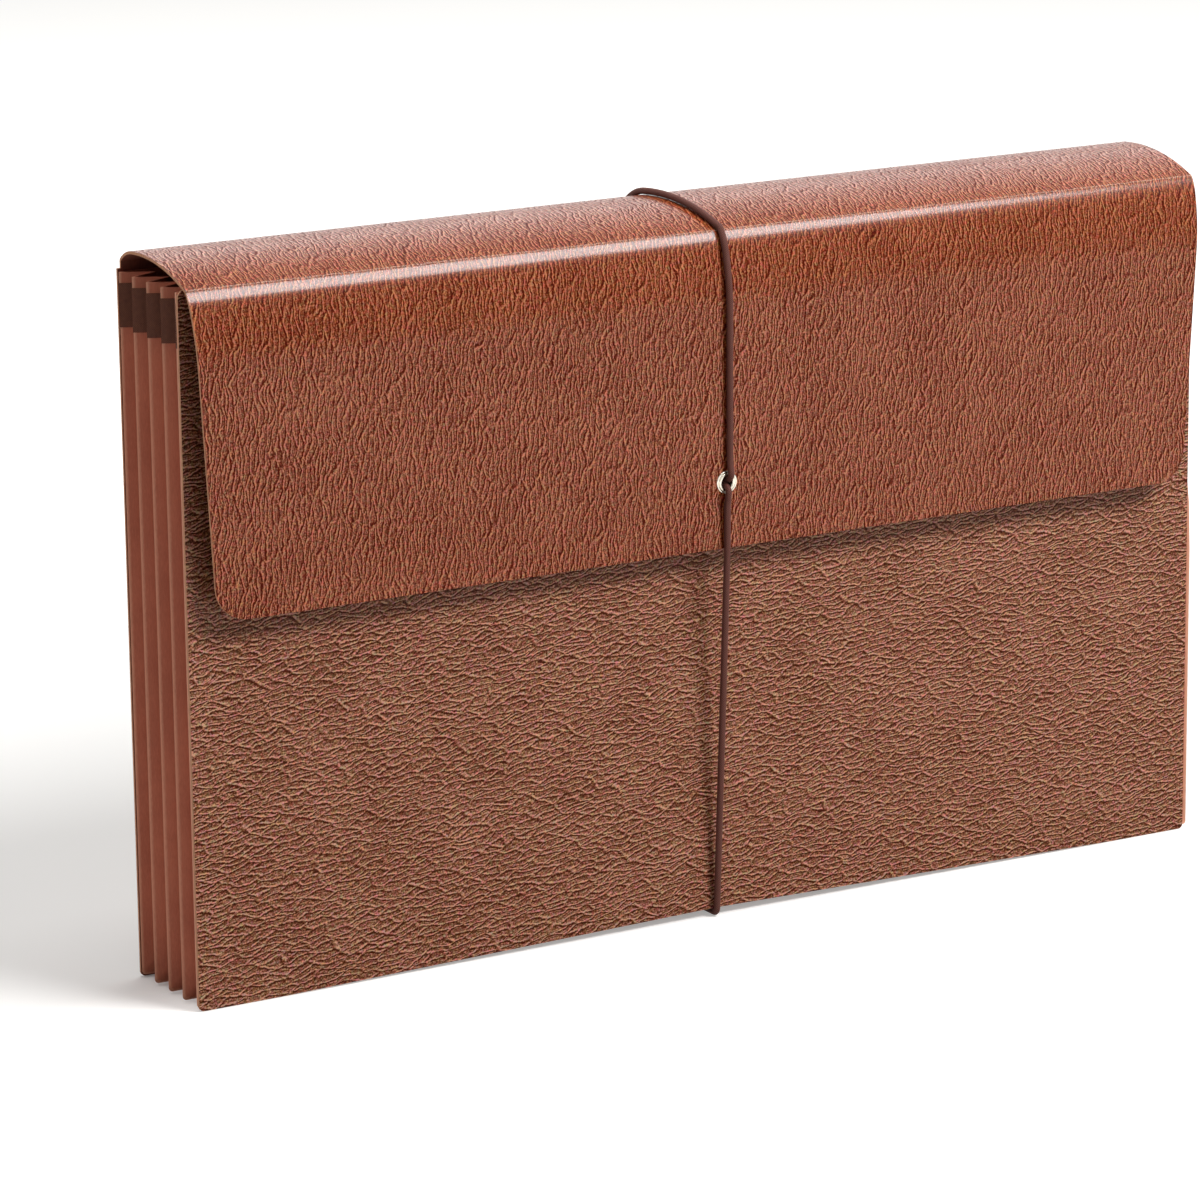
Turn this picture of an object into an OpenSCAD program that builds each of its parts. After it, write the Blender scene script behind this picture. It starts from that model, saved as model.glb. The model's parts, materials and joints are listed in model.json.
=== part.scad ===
// Expanding file wallet: two boards, a pleated paper gusset, a fold-over flap and an elastic cord.
// Millimetres. X is the width, the front panel faces -Y, Z is up and the wallet stands on Z = 0.

/* [Panels] */
// Width of the front and back panels
panel_w = 381; // [240:1:460]
// Height of the front and back panels
panel_h = 231; // [190:1:320]
// Thickness of the panel and flap board
board_t = 0.9; // [0.6:0.05:1.4]
// Radius of the panels' bottom corners
panel_corner_r = 3; // [1:0.5:6]
// Length of the flat foot at each end of a panel's bottom edge
foot_w = 30; // [10:1:60]
// Rise of the bottom edge at the middle, where the cord passes under
bottom_rise = 2.7; // [2.6:0.05:4]

/* [Gusset] */
// Width of one pleat face, from ridge to valley
fold_w = 11.1; // [8:0.1:16]
// Thickness of the gusset paper
paper_t = 0.6; // [0.4:0.05:0.8]
// Opening angle of each pleat face as the wallet stands
fold_angle = 23.5; // [12:0.5:36]
// Width of the gusset strip that is glued inside each panel
tab_w = 19; // [8:0.5:30]
// Distance of the side ridges from the panels' side edges
side_inset = 0.7; // [0.4:0.1:4]
// Height of the bottom ridges over the ground
bottom_inset = 3.2; // [3:0.1:6]
// Drop of the gusset's top edge below the panels' top edge
top_inset = 1; // [0:0.1:4]

/* [Tape] */
// Height of the reinforcing tape
tape_h = 14; // [6:0.1:30]
// Distance of the tape below the gusset's top edge
tape_drop = 3.4; // [1:0.1:12]
// Thickness of the tape, which lies flush in the paper
tape_t = 0.2; // [0.1:0.02:0.3]

/* [Flap] */
// Slope of the flap where it rises from the back fold
rise_slope = 40; // [20:1:60]
// Radius of the bend behind the flap's top
back_bend_r = 14; // [8:0.5:18]
// Radius of the flap's bowed top
top_bow_r = 76; // [60:1:110]
// Slope of the flap's top where the bend over the front panel starts
front_slope = 24; // [20:0.5:29]
// Radius of the bend over the front panel
front_bend_r = 5.5; // [4:0.5:8]
// Angle of the flap at the front crease, in the middle of that bend
crease_angle = 45; // [30:1:60]
// Slope where that bend ends and the hanging front's slow curve starts
bend_slope = 74; // [68:1:84]
// Radius of the slow curve
hang_bow_r = 70; // [40:5:120]
// Slope of the hanging front below the slow curve, where 90 is upright
hang_slope = 90.5; // [90:0.1:91]
// Space between the front panel's face and the flap's face where it stands out most
front_room = 8.6; // [6.5:0.1:12]
// Distance of the flap's lower edge below the panels' top edge
flap_drop = 104; // [60:1:180]
// Distance of the flap's sides from the panels' side edges, at the crease
flap_inset = 1.5; // [1:0.1:10]
// Distance of the flap's sides from the panels' side edges, at the lower edge
flap_edge_inset = 7.5; // [3:0.5:20]
// Radius of the flap's lower corners
flap_corner_r = 10.5; // [4:0.5:20]

/* [Eyelet] */
// Height of the eyelet over the flap's lower edge
eyelet_up = 22; // [12:1:50]
// Diameter of the eyelet's hole
eyelet_hole_d = 3.9; // [3.9:0.1:6]
// Diameter of the eyelet's front flange
eyelet_flange_d = 7.6; // [7:0.1:10]
// Wall of the eyelet's barrel
eyelet_wall = 0.3; // [0.2:0.05:0.5]
// Width of the rolled rim behind the flap
eyelet_rim_w = 1.1; // [0.8:0.1:1.6]
// Thickness of the rolled rim behind the flap
eyelet_rim_t = 0.5; // [0.3:0.05:0.8]

/* [Cord] */
// Diameter of the elastic cord
cord_d = 2.2; // [1.6:0.1:2.2]
// Diameter of each strand where the eyelet squeezes it
cord_squeezed_d = 1.6; // [1:0.1:1.6]
// Sideways drift of the cord where it crosses the back fold
cord_drift = -6; // [-20:1:20]
// Diameter of the knot behind the eyelet
knot_d = 6; // [5:0.1:8]
// Thickness of the knot behind the eyelet
knot_t = 2.6; // [2:0.1:2.8]

/* [Clearances] */
// Space between the cord and the boards that it lies on
cord_gap = 0.15; // [0.1:0.05:0.4]
// Height of the cord's underside over the ground
cord_lift = 0.1; // [0.05:0.05:0.3]
// Running gap at each folding edge of the gusset
fold_gap = 0.05; // [0.03:0.01:0.15]
// Space left at the middle ridge, where the two half gussets meet
ridge_gap = 0.75; // [0.7:0.05:1]
// Space between side and bottom pleats along the mitred corners
mitre_gap = 0.3; // [0.2:0.05:1]
// Space between the flap's underside and the front panel's top edge
flap_clear = 0.5; // [0.3:0.1:1.5]
// Gap at the flap's two folds
crease_gap = 0.2; // [0.1:0.05:0.4]
// Radial clearance of the eyelet's barrel in the flap
eyelet_clear = 0.05; // [0.02:0.01:0.1]

/* [Hidden] */
half_folds = 4;
tube_sides = 8;
bend_steps = 8;
overrun = 1;

// Link between the two folding edges of a pleat face, which lie on opposite corners of its section
link_x = fold_w * cos(fold_angle) - paper_t * sin(fold_angle);
link_y = fold_w * sin(fold_angle) + paper_t * cos(fold_angle);
gusset_depth = 2 * half_folds * link_y + ridge_gap;
body_depth = gusset_depth + 2 * (paper_t + board_t);

// Stations of the flap's outer face: distance behind the front face, height, slope
function bend(at, radius, to, n = bend_steps) = [
    for (i = [1:n]) let (a = at[2] + (to - at[2]) * i / n)
        [at[0] - radius * (sin(a) - sin(at[2])), at[1] - radius * (cos(at[2]) - cos(a)), a]];
function ahead(at, run) = [at[0] - run * cos(at[2]), at[1] - run * sin(at[2]), at[2]];

fold_run = board_t * cos(rise_slope) + crease_gap;
bow_end_u = front_bend_r * (sin(bend_slope) - sin(front_slope))
    + hang_bow_r * (1 - sin(bend_slope)) - front_room;
bow_mid_u = bow_end_u + top_bow_r * sin(front_slope);
slope_at_front = asin(bow_mid_u / top_bow_r);
back_bend_end_u = body_depth - fold_run * cos(rise_slope) - back_bend_r * sin(rise_slope);
back_slope = asin((bow_mid_u - back_bend_end_u) / (top_bow_r - back_bend_r));
top_at_front = board_t / cos(slope_at_front) + flap_clear;
bow_h = top_bow_r * (cos(back_slope) - cos(slope_at_front));
back_bend_h = back_bend_r * (cos(back_slope) - cos(rise_slope));
top_z = panel_h + top_at_front + bow_h - back_bend_h - fold_run * sin(rise_slope);
back_fold = [body_depth, top_z, -rise_slope];
top_start = ahead(back_fold, fold_run);
back_bend = bend(top_start, back_bend_r, back_slope);
top_bow = bend(back_bend[bend_steps - 1], top_bow_r, front_slope);
top_bend = bend(top_bow[bend_steps - 1], front_bend_r, crease_angle);
crease = top_bend[bend_steps - 1];
front_start = ahead(crease, crease_gap);
front_bend = bend(crease, front_bend_r, bend_slope);
hang_bow = bend(front_bend[bend_steps - 1], hang_bow_r, hang_slope);
hang_start = hang_bow[bend_steps - 1];
flap_edge_z = panel_h - flap_drop;
flap_edge = ahead(hang_start, (hang_start[1] - flap_edge_z) / sin(hang_slope));
flap_top_path = concat([top_start], back_bend, top_bow, top_bend);
flap_front_path = concat([front_start], front_bend, hang_bow, [flap_edge]);

// Places along Y, with the whole wallet centred on Y = 0
cord_r = cord_d / 2;
cord_off = cord_r + cord_gap;
front_reach = cord_off + cord_r + front_room;
back_reach = cord_off + cord_r;
front_y = (front_reach - back_reach - body_depth) / 2;
back_y = front_y + body_depth;
mid_y = (front_y + back_y) / 2;
ridge_x = panel_w / 2 - side_inset;
gusset_top = panel_h - top_inset;
first_ridge_y = back_y - board_t - paper_t;

// Eyelet's place on the hanging front, and its bead
eyelet_at = ahead(flap_edge, -eyelet_up / sin(hang_slope));
hole_r = eyelet_hole_d / 2;
bead_r = (eyelet_flange_d - eyelet_hole_d) / 4;
bead_mid = hole_r + bead_r;
eyelet_back = board_t + eyelet_rim_t;

// Cord's route: X, distance behind the front face, height and the cord's radius there
turn_steps = 4;
squeezed_r = cord_squeezed_d / 2;
under_z = cord_lift + cord_r;
corner_r = cord_off + board_t / 2;
eyelet_lead = 2 * cord_d;
function off_face(s, x = 0) =
    [x, s[0] - cord_off * sin(s[2]), s[1] + cord_off * cos(s[2]), cord_r];
// A place by the eyelet: distance up the flap and height over its outer face
function by_eyelet(up, out, r) = [0,
    eyelet_at[0] + up * cos(hang_slope) - out * sin(hang_slope),
    eyelet_at[1] + up * sin(hang_slope) + out * cos(hang_slope), r];
function strand_in_hole() = hole_r - squeezed_r - cord_gap;
function through_eyelet(side) = concat(
    [by_eyelet(side * strand_in_hole(), -eyelet_back, squeezed_r)],
    [for (i = [0:turn_steps])
        let (a = 90 * i / turn_steps, r = squeezed_r + (cord_r - squeezed_r) * i / turn_steps)
        let (turn = bead_r + cord_gap + r)
        by_eyelet(side * (bead_mid - turn * cos(a)), turn * sin(a), r)],
    [by_eyelet(side * (bead_mid + eyelet_lead), cord_off, cord_r)]);
function turn_about(u, z, radius, from, to, x = 0) = [
    for (i = [0:turn_steps]) let (a = from + (to - from) * i / turn_steps)
        [x, u + radius * cos(a), z + radius * sin(a), cord_r]];
function drift_at(u) = cord_drift * (u - crease[0]) / (body_depth - crease[0]);

function backwards(path, step) = [for (i = [bend_steps - 1:-step:0]) path[i]];

cord_flap_path = concat(through_eyelet(1),
    [for (s = concat(backwards(hang_bow, 2), backwards(front_bend, 2), [front_start])) off_face(s)]);
cord_top_path = [for (s = concat(backwards(top_bend, 2), backwards(top_bow, 1), backwards(back_bend, 2),
    [ahead(back_fold, fold_run / 2)])) off_face(s, drift_at(s[0]))];
cord_back_path = concat(
    turn_about(body_depth, top_z, cord_off, 90 - rise_slope, 0, cord_drift),
    [[0, body_depth + cord_off, panel_h / 4, cord_r],
     [0, body_depth + cord_off, under_z + corner_r + crease_gap, cord_r]]);
cord_lower_path = concat(through_eyelet(-1), [off_face(flap_edge)],
    turn_about(board_t / 2, under_z + corner_r, corner_r, 180, 270),
    turn_about(body_depth - board_t / 2, under_z + corner_r, corner_r, 270, 360));

SIDES = ["left", "right", "bottom"];
TAPED = ["left", "right"];
FOLDS = [1:2 * half_folds];

board_colour = "#7d4b37";
flap_colour = "#96523a";
paper_colour = "#84493a";
tape_colour = "#462d26";
cord_colour = "#4b2d2a";
metal_colour = "#e1dcd2";

// A sheet whose outline lies in the XZ plane, with its front face at y
module upright_sheet(y, t) {
    translate([0, y + t, 0]) rotate([90, 0, 0]) linear_extrude(t) children();
}

// A section in the YZ plane drawn out along the width
module along_width(w) {
    translate([-w / 2, 0, 0]) rotate([90, 0, 90]) linear_extrude(w) children();
}

// A round lower right corner, and the left half that mirrors a row of points
function round_corner(x, z, r) = [for (i = [0:bend_steps]) let (a = -90 + 90 * i / bend_steps)
    [x - r + r * cos(a), z + r + r * sin(a)]];
function mirrored(points) = [for (i = [len(points) - 1:-1:0]) [-points[i][0], points[i][1]]];

// Panel outline with a flat foot at each end and a shallow rise between them
module panel_outline(h) {
    half = panel_w / 2;
    right = concat([[half - foot_w, 0]], round_corner(half, 0, panel_corner_r), [[half, h]]);
    polygon(concat(right, mirrored(right), [[0, bottom_rise]]));
}

module back_panel() {
    neck = panel_w - 2 * flap_inset;
    color(board_colour) {
        upright_sheet(back_y - board_t, board_t) {
            panel_outline(panel_h);
            translate([-neck / 2, panel_h - overrun]) square([neck, top_z - panel_h + overrun]);
        }
    }
}

module front_panel() {
    color(board_colour) upright_sheet(front_y, board_t) panel_outline(panel_h);
}

// The gusset's outer strip, glued along a panel's sides and bottom
module glue_strip(y) {
    inner = ridge_x - tab_w;
    color(paper_colour) upright_sheet(y, paper_t) difference() {
        translate([-ridge_x, bottom_inset]) square([2 * ridge_x, gusset_top - bottom_inset]);
        translate([-inner, bottom_inset + tab_w]) square([2 * inner, panel_h]);
    }
}

module back_glue_strip() { glue_strip(first_ridge_y); }
module front_glue_strip() { glue_strip(front_y + board_t); }

// Distance that the mitre takes off a pleat face's end, at distance u from its first folding edge
function mitre_at(u, inward) = mitre_gap + (inward ? u : fold_w - u);
function faces_inward(k) = k % 2 == 1;
fold_ends = [fold_gap, fold_w - fold_gap];

module side_outline(k) {
    low = [for (u = fold_ends) bottom_inset + mitre_at(u, faces_inward(k))];
    polygon([[fold_ends[0], low[0]], [fold_ends[1], low[1]],
        [fold_ends[1], gusset_top], [fold_ends[0], gusset_top]]);
}

module bottom_outline(k) {
    end = [for (u = fold_ends) ridge_x - mitre_at(u, faces_inward(k))];
    polygon([[fold_ends[0], -end[0]], [fold_ends[1], -end[1]],
        [fold_ends[1], end[1]], [fold_ends[0], end[0]]]);
}

// Place of face k of a half gusset: its first folding edge, with the ridges on x = 0
module on_fold(k) {
    translate([faces_inward(k) ? 0 : link_x, -(k - 1) * link_y, 0])
        rotate([0, 0, faces_inward(k) ? -fold_angle : 180 + fold_angle]) children();
}

// The paper of face k, whose first folding edge lies on the side towards its own panel
module face_sheet(k) {
    translate([0, faces_inward(k) ? 0 : paper_t, 0]) rotate([90, 0, 0]) linear_extrude(paper_t) children();
}

// The tape's place, on the side of face k that looks out of the wallet
module tape_block(k, past) {
    outer_side = faces_inward(k) ? -paper_t : 0;
    translate([fold_ends[0] - past, outer_side - past, gusset_top - tape_drop - tape_h])
        cube([fold_ends[1] - fold_ends[0] + 2 * past, tape_t + past, tape_h]);
}

// Faces are counted from the back panel, and the front half mirrors the back half
function half_index(k) = k <= half_folds ? k : 2 * half_folds + 1 - k;
module on_half(k) {
    if (k <= half_folds) translate([0, first_ridge_y, 0]) children();
    else translate([0, 2 * mid_y - first_ridge_y, 0]) mirror([0, 1, 0]) children();
}

module on_side(side) {
    if (side == "left") translate([-ridge_x, 0, 0]) children();
    else if (side == "right") mirror([1, 0, 0]) translate([-ridge_x, 0, 0]) children();
    else translate([0, 0, bottom_inset]) rotate([0, -90, 0]) children();
}

module pleat(side, k) {
    h = half_index(k);
    color(paper_colour) on_side(side) on_half(k) on_fold(h) {
        if (side == "bottom") face_sheet(h) bottom_outline(h);
        else difference() {
            face_sheet(h) side_outline(h);
            tape_block(h, overrun);
        }
    }
}

module tape(side, k) {
    h = half_index(k);
    color(tape_colour) on_side(side) on_half(k) on_fold(h) tape_block(h, 0);
}

// Section of the flap's board along a row of stations on its outer face
module flap_section(path) {
    last = len(path) - 1;
    polygon(concat(
        [for (s = path) [front_y + s[0], s[1]]],
        [for (i = [last:-1:0]) let (s = path[i])
            [front_y + s[0] + board_t * sin(s[2]), s[1] - board_t * cos(s[2])]]));
}

module flap_top() {
    color(flap_colour) along_width(panel_w - 2 * flap_inset) flap_section(flap_top_path);
}

// The hanging front seen square on: sides drawn in towards a lower edge with round corners
module flap_outline() {
    top_half = panel_w / 2 - flap_inset;
    edge_half = panel_w / 2 - flap_edge_inset;
    shoulder = panel_h + 2 * front_bend_r;
    right = concat(round_corner(edge_half, flap_edge_z, flap_corner_r),
        [[top_half, crease[1]], [top_half, shoulder]]);
    polygon(concat(right, mirrored(right)));
}

// Local frame at the eyelet: +Z out of the flap's outer face, +Y up the flap
module at_eyelet() {
    translate([0, front_y + eyelet_at[0], eyelet_at[1]]) rotate([hang_slope, 0, 0]) children();
}

module flap_front() {
    color(flap_colour) difference() {
        intersection() {
            along_width(panel_w) flap_section(flap_front_path);
            upright_sheet(-panel_h / 2, panel_h) flap_outline();
        }
        at_eyelet() translate([0, 0, -board_t - overrun])
            cylinder(r = hole_r + eyelet_wall + eyelet_clear, h = board_t + 2 * overrun, $fn = 48);
    }
}

module eyelet() {
    color(metal_colour) at_eyelet() rotate_extrude($fn = 64) {
        intersection() {
            translate([bead_mid, 0]) circle(r = bead_r, $fn = 32);
            translate([hole_r, 0]) square([2 * bead_r, bead_r]);
        }
        translate([hole_r, -eyelet_back]) square([eyelet_wall, eyelet_back]);
        translate([hole_r, -eyelet_back]) square([eyelet_rim_w, eyelet_rim_t]);
    }
}

module cord_knot() {
    round_r = knot_t / 2;
    color(cord_colour) at_eyelet() translate([0, 0, -eyelet_back - round_r]) rotate_extrude($fn = 48) {
        translate([knot_d / 2 - round_r, 0]) intersection() {
            circle(r = round_r, $fn = 32);
            translate([0, -round_r]) square(2 * round_r);
        }
        translate([0, -round_r]) square([knot_d / 2 - round_r, 2 * round_r]);
    }
}

// A round tube along a route of places and radii
function unit(v) = v / norm(v);
function place(p) = [p[0], front_y + p[1], p[2]];
function ring(path, i) =
    let (last = len(path) - 1)
    let (t = unit(place(path[min(i + 1, last)]) - place(path[max(i - 1, 0)])))
    let (e = unit([1, 0, 0] - t * t[0]))
    let (f = cross(t, e))
    [for (k = [0:tube_sides - 1]) let (a = 360 * k / tube_sides)
        place(path[i]) + path[i][3] * (cos(a) * e + sin(a) * f)];
module tube(path) {
    n = tube_sides;
    last = len(path) - 1;
    points = [for (i = [0:last]) each ring(path, i)];
    walls = [for (i = [0:last - 1], k = [0:n - 1]) let (a = i * n + k, b = i * n + (k + 1) % n)
        each [[a, a + n, b], [b, a + n, b + n]]];
    caps = [[for (k = [0:n - 1]) k], [for (k = [n - 1:-1:0]) last * n + k]];
    color(cord_colour) polyhedron(points, concat(walls, caps));
}

module cord_flap_strand() { tube(cord_flap_path); }
module cord_top_strand() { tube(cord_top_path); }
module cord_back_strand() { tube(cord_back_path); }
module cord_lower_strand() { tube(cord_lower_path); }

back_panel();
back_glue_strip();
front_panel();
front_glue_strip();
flap_top();
flap_front();
eyelet();
cord_flap_strand();
cord_top_strand();
cord_back_strand();
cord_lower_strand();
cord_knot();
for (side = SIDES, k = FOLDS) pleat(side, k);
for (side = TAPED, k = FOLDS) tape(side, k);
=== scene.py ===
# Looks of an expanding file wallet: grained boards, a pleated paper gusset, woven tape and an elastic cord.
# Metres. The front panel faces -Y, Z is up and the wallet stands on Z = 0.
import json
import math
from collections import namedtuple

import bmesh
import bpy
from mathutils import Matrix, Vector


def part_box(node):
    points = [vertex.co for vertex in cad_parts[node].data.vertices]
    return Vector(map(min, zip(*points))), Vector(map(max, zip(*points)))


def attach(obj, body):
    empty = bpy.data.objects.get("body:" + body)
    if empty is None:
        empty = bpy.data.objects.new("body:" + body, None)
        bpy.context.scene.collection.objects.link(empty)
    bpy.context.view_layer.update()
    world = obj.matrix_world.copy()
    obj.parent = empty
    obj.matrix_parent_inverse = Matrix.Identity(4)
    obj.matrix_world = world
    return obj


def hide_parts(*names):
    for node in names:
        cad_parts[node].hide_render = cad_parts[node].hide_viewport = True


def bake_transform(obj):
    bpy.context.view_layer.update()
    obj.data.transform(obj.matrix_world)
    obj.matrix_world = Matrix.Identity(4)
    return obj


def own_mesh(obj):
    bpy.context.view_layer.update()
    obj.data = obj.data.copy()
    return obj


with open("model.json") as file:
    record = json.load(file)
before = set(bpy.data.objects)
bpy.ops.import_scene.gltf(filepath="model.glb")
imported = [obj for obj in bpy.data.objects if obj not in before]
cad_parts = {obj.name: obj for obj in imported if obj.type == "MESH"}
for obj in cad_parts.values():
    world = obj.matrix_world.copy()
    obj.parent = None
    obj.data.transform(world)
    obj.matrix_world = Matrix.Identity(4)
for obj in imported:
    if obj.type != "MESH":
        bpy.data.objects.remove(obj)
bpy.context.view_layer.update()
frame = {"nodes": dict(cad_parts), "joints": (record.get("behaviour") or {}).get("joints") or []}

MM = 0.001

# Places read from the frame
JOINTS = {joint["name"]: joint for joint in frame["joints"]}
BACK_FOLD = Vector(JOINTS["flap_open"]["pos_m"])
CREASE = Vector(JOINTS["flap_crease"]["pos_m"])
FRONT_LOW, FRONT_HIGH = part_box("front_panel")
FLAP_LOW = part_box("flap_front")[0]
STRIP_LOW, STRIP_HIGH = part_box("back_glue_strip")
FRONT_STRIP_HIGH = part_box("front_glue_strip")[1]
EYELET_LOW, EYELET_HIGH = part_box("eyelet")
BOARD = FRONT_HIGH.y - FRONT_LOW.y
PAPER = STRIP_HIGH.y - STRIP_LOW.y
PANEL_TOP = FRONT_HIGH.z
PANEL_HALF = FRONT_HIGH.x
FRONT_Y = FRONT_LOW.y
BACK_Y = BACK_FOLD.y
EYELET_Z = (EYELET_LOW.z + EYELET_HIGH.z) / 2

# Boards
FOOT = 30 * MM
BOTTOM_RISE = 2.7 * MM
FOLD_R = 1.3 * MM
RISE_SLOPE = -40
FOLD_RUN = 0.9 * MM
BACK_BEND_R = 14 * MM
TOP_BOW_R = 76 * MM
FRONT_SLOPE = 24
FRONT_BEND_R = 5.5 * MM
BEND_SLOPE = 74
CREASE_ANGLE = 45
SCORE_R = 1.5 * MM
SCORE_SLOPE = 55
HANG_BOW_R = 70 * MM
HANG_SLOPE = 90.5
SEAM_STEP = 0.1 * MM
NECK_STEP = 0.05 * MM
FLAP_INSET = 2 * MM
FLAP_SHIFT = -0.8 * MM
FLAP_EDGE_INSET = 7.5 * MM
FLAP_CORNER_R = 10.5 * MM
PANEL_CORNER_R = 1.6 * MM
FRONT_TOP_CORNER_R = 3 * MM
# Reach of the painted highlight along the flap's crease
CREASE_HIGHLIGHT_REACH = 0.7 * MM
POLISH_OFF = 2.2 * MM
POLISH_REACH = 5 * MM

# Gusset and tape
PLEAT_FACES = 8
FACE_STEPS = 6
PLEAT_DEPTH = 9.94 * MM
FOLD_FLAT = 0.02
PLEAT_SWAY = 0.5 * MM
SWAYS_PER_M = 14
RIDGE_CORNER_R = 1.2 * MM
RIDGE_OUT = 0.6 * MM
GUSSET_SAG = 2.4 * MM
RIGHT_PEEK = 2.4 * MM
PEEK_FADES_AT = FLAP_LOW.z - 20 * MM
PEEK_ENDS_AT = FLAP_LOW.z + 10 * MM
PEEK_FROM_X = 0.7 * PANEL_HALF
LAST_RIDGE_SHARE = 0.93
# Share of each pleat face, from its ridge, that gets the painted highlight
RIDGE_HIGHLIGHT_SHARE = 0.06
VALLEY_CORNER_R = 2.5 * MM
TAPE_DROP = 3.4 * MM
TAPE_H = 14 * MM
TAPE_LIFT = 0.5 * MM

# Eyelet and cord
HOLE_R = 1.95 * MM
BEAD_R = 0.925 * MM
BEAD_MID = HOLE_R + BEAD_R
INNER_BEAD_R = 0.6 * MM
OUTER_BEAD_R = 0.4 * MM
EYELET_WALL = 0.3 * MM
EYELET_SEAT = 0.02 * MM
RIM_R = 0.4 * MM
EYELET_BACK = BOARD + 0.5 * MM
CORD_R = 1.1 * MM
SQUEEZED_R = 0.8 * MM
CORD_GAP = 0.15 * MM
CORD_OFF = CORD_R + CORD_GAP
CORD_DRIFT = -6 * MM
STRAND_OFF = 0.5 * MM
CORD_LIFT = 0.1 * MM
CORD_STEP = 0.7 * MM
CORD_SIDES = 14
KNOT_R = 2.2 * MM
KNOT_STRAND_R = 0.75 * MM
KNOT_BEHIND = 1.3 * MM
KNOT_WEAVE = 0.55 * MM
KNOT_LOBES = 3
KNOT_TURNS = 2
KNOT_WAIST = 0.38

# Camera, fitted to the photograph's corners
CAMERA_AT = Vector((-0.8831, -1.4728, 0.5352))
CAMERA_YAW, CAMERA_PITCH, CAMERA_ROLL = 29.99, 14.08, -0.67
CAMERA_LENS, CAMERA_SENSOR = 160.9, 36


def srgb(red, green, blue):
    """A colour as seen on screen, 0 to 255, as the linear colour that a socket takes."""
    def linear(c):
        c /= 255
        return c / 12.92 if c <= 0.04045 else ((c + 0.055) / 1.055) ** 2.4
    return (linear(red), linear(green), linear(blue), 1)


class Sock:
    """A node's socket. Sums on it add Math nodes, and node() adds any other node to its tree."""

    def __init__(self, tree, socket=None):
        self.tree = tree
        self.socket = socket

    def node(self, kind, settings=None, inputs=None, out=0):
        made = self.tree.nodes.new(kind)
        for key, value in (settings or {}).items():
            if key == "stops":
                ramp = made.color_ramp.elements
                while len(ramp) < len(value):
                    ramp.new(1)
                for element, (place, colour) in zip(ramp, value):
                    element.position, element.color = place, colour
            elif key == "captures":
                for kind_of_value, name in value:
                    made.capture_items.new(kind_of_value, name)
            else:
                setattr(made, key, value)
        for key, value in (inputs or {}).items():
            if isinstance(value, Sock):
                self.tree.links.new(value.socket, made.inputs[key])
            else:
                made.inputs[key].default_value = value
        return Sock(self.tree, made.outputs[out]) if made.outputs else made

    def beside(self, out):
        """Another output of the same node."""
        return Sock(self.tree, self.socket.node.outputs[out])

    def math(self, operation, *others):
        return self.node("ShaderNodeMath", {"operation": operation}, dict(enumerate((self, *others))))

    def vector(self, operation, *others):
        return self.node("ShaderNodeVectorMath", {"operation": operation}, dict(enumerate((self, *others))))

    def scaled(self, share):
        return self.node("ShaderNodeVectorMath", {"operation": "SCALE"}, {0: self, "Scale": share})

    def parts(self, out):
        return self.node("ShaderNodeSeparateXYZ", {}, {0: self}, out)

    def step(self, low, high):
        """0 below low, 1 above high, and smooth between."""
        return self.node("ShaderNodeMapRange", {"interpolation_type": "SMOOTHSTEP"},
                         {"Value": self, "From Min": low, "From Max": high})

    def tint(self, colour_0, colour_1):
        """One colour where this value is 0, the other where it is 1."""
        return self.node("ShaderNodeMix", {"data_type": "RGBA"}, {0: self, 6: colour_0, 7: colour_1}, 2)

    def __add__(self, other):
        return self.math("ADD", other)

    def __mul__(self, other):
        return self.math("MULTIPLY", other)

    def __sub__(self, other):
        return self.math("SUBTRACT", other)

    def __rsub__(self, other):
        return self.node("ShaderNodeMath", {"operation": "SUBTRACT"}, {0: other, 1: self})

    __radd__ = __add__
    __rmul__ = __mul__


def finish_of(name, build, **constants):
    """A material whose build(tree) gives the sockets that vary, and whose constants stay on the shader."""
    material = bpy.data.materials.new(name)
    material.use_nodes = True
    tree = Sock(material.node_tree)
    shader = material.node_tree.nodes["Principled BSDF"]
    for key, value in constants.items():
        shader.inputs[key.replace("_", " ").title().replace("Ior", "IOR")].default_value = value
    for key, value in build(tree).items():
        material.node_tree.links.new(value.socket, shader.inputs[key])
    return material


def noise(at, scale, detail=3, rough=0.5, out=0):
    return at.node("ShaderNodeTexNoise", {"noise_dimensions": "3D"},
                   {"Vector": at, "Scale": scale, "Detail": detail, "Roughness": rough}, out)


def bump(height, distance, strength=1.0):
    return height.node("ShaderNodeBump", {}, {"Height": height, "Distance": distance, "Strength": strength})


def on_piece(tree):
    """Place on the piece, in metres."""
    return tree.node("ShaderNodeTexCoord", out=3)


def kept_value(tree, name):
    """A value that the mesh keeps at its points, 0 where it has none."""
    return tree.node("ShaderNodeAttribute", {"attribute_name": name}, out=2)


# Leather print: sizes of its sways and how far they reach, line widths in cells, shares of the tone, and
# counts of specks, mottles and hues in a metre
SWAYS = ((11 * MM, 4 * MM), (2.8 * MM, 0.9 * MM), (0.9 * MM, 0.5 * MM))
HAIRS_PER_CELL = 2.2
# The middle width is that of the painted shade beside each ridge; the two contrasts set the pale print
# against that painted shade
RIDGE_WIDTH, PAINTED_SHADE_WIDTH, HAIR_WIDTH = 0.15, 0.17, 0.26
RIDGE_CONTRAST, HAIR_CONTRAST, RIDGE_TONE = 0.55, 0.25, 0.08
GROUND_TONE, FLECK_TONE, MOTTLE_TONE = 0.42, 2.3, 0.3
SPECKS_PER_M, MOTTLES_PER_M, HUES_PER_M = 1700, 45, 900
PRINT_BUMP = 0.06 * MM
# Colour of the painted highlight along a crease
CREASE_HIGHLIGHT_COLOUR = srgb(232, 204, 186)


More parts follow.
